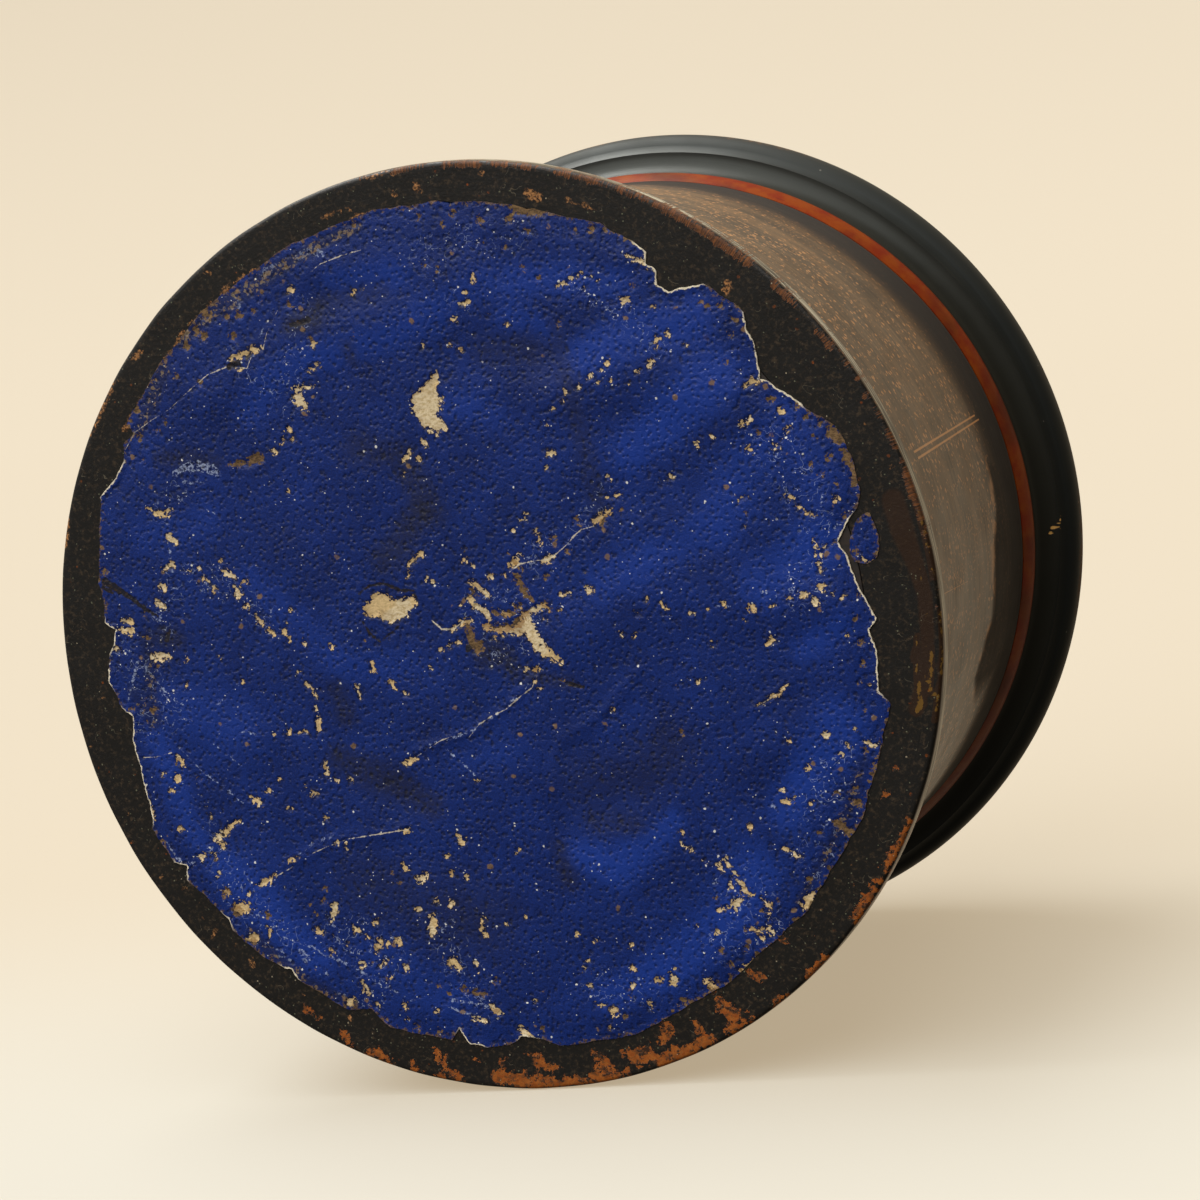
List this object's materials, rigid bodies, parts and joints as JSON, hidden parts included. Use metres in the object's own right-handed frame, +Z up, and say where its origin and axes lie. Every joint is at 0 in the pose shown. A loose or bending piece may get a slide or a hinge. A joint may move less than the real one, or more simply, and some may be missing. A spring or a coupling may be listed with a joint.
{
  "type": "string box",
  "caption": "Round turned wooden string box with a lift-off moulded lid, a string hole in its middle, a thin red band and torn blue paper under its foot.",
  "frame": {"origin": "middle of the face that the upright box stands on", "axes": "+Z up along the box's turned axis, towards the lid; +X and +Y across it"},
  "size_m": [0.0902, 0.0902, 0.0784],
  "materials": {
    "wall_lacquer": "dark brown-grey satin lacquer on turned wood, fine marks round the wall",
    "bottom_wood": "dull dark stained wood",
    "blue_paper": "glazed, pebbled ultramarine paper, torn and chipped to its cream core",
    "scrap_paper": "remnant of the same paper, browned at its edges",
    "red_lacquer": "glossy orange-red lacquer",
    "black_lacquer": "polished black lacquer on turned wood",
    "eyelet_brass": "worn polished brass"
  },
  "bodies": {
    "case": {"case": "wall_lacquer", "base_disc": "bottom_wood", "base_paper": "blue_paper", "paper_scrap": "scrap_paper", "red_band": "red_lacquer"},
    "lid": {"lid": "black_lacquer", "string_eyelet": "eyelet_brass"}
  },
  "joints": [
    {"name": "lid_lift", "type": "slide", "parent": "case", "child": "lid", "axis": [0, 0, 1], "range_m": [0, 0.1]}
  ]
}
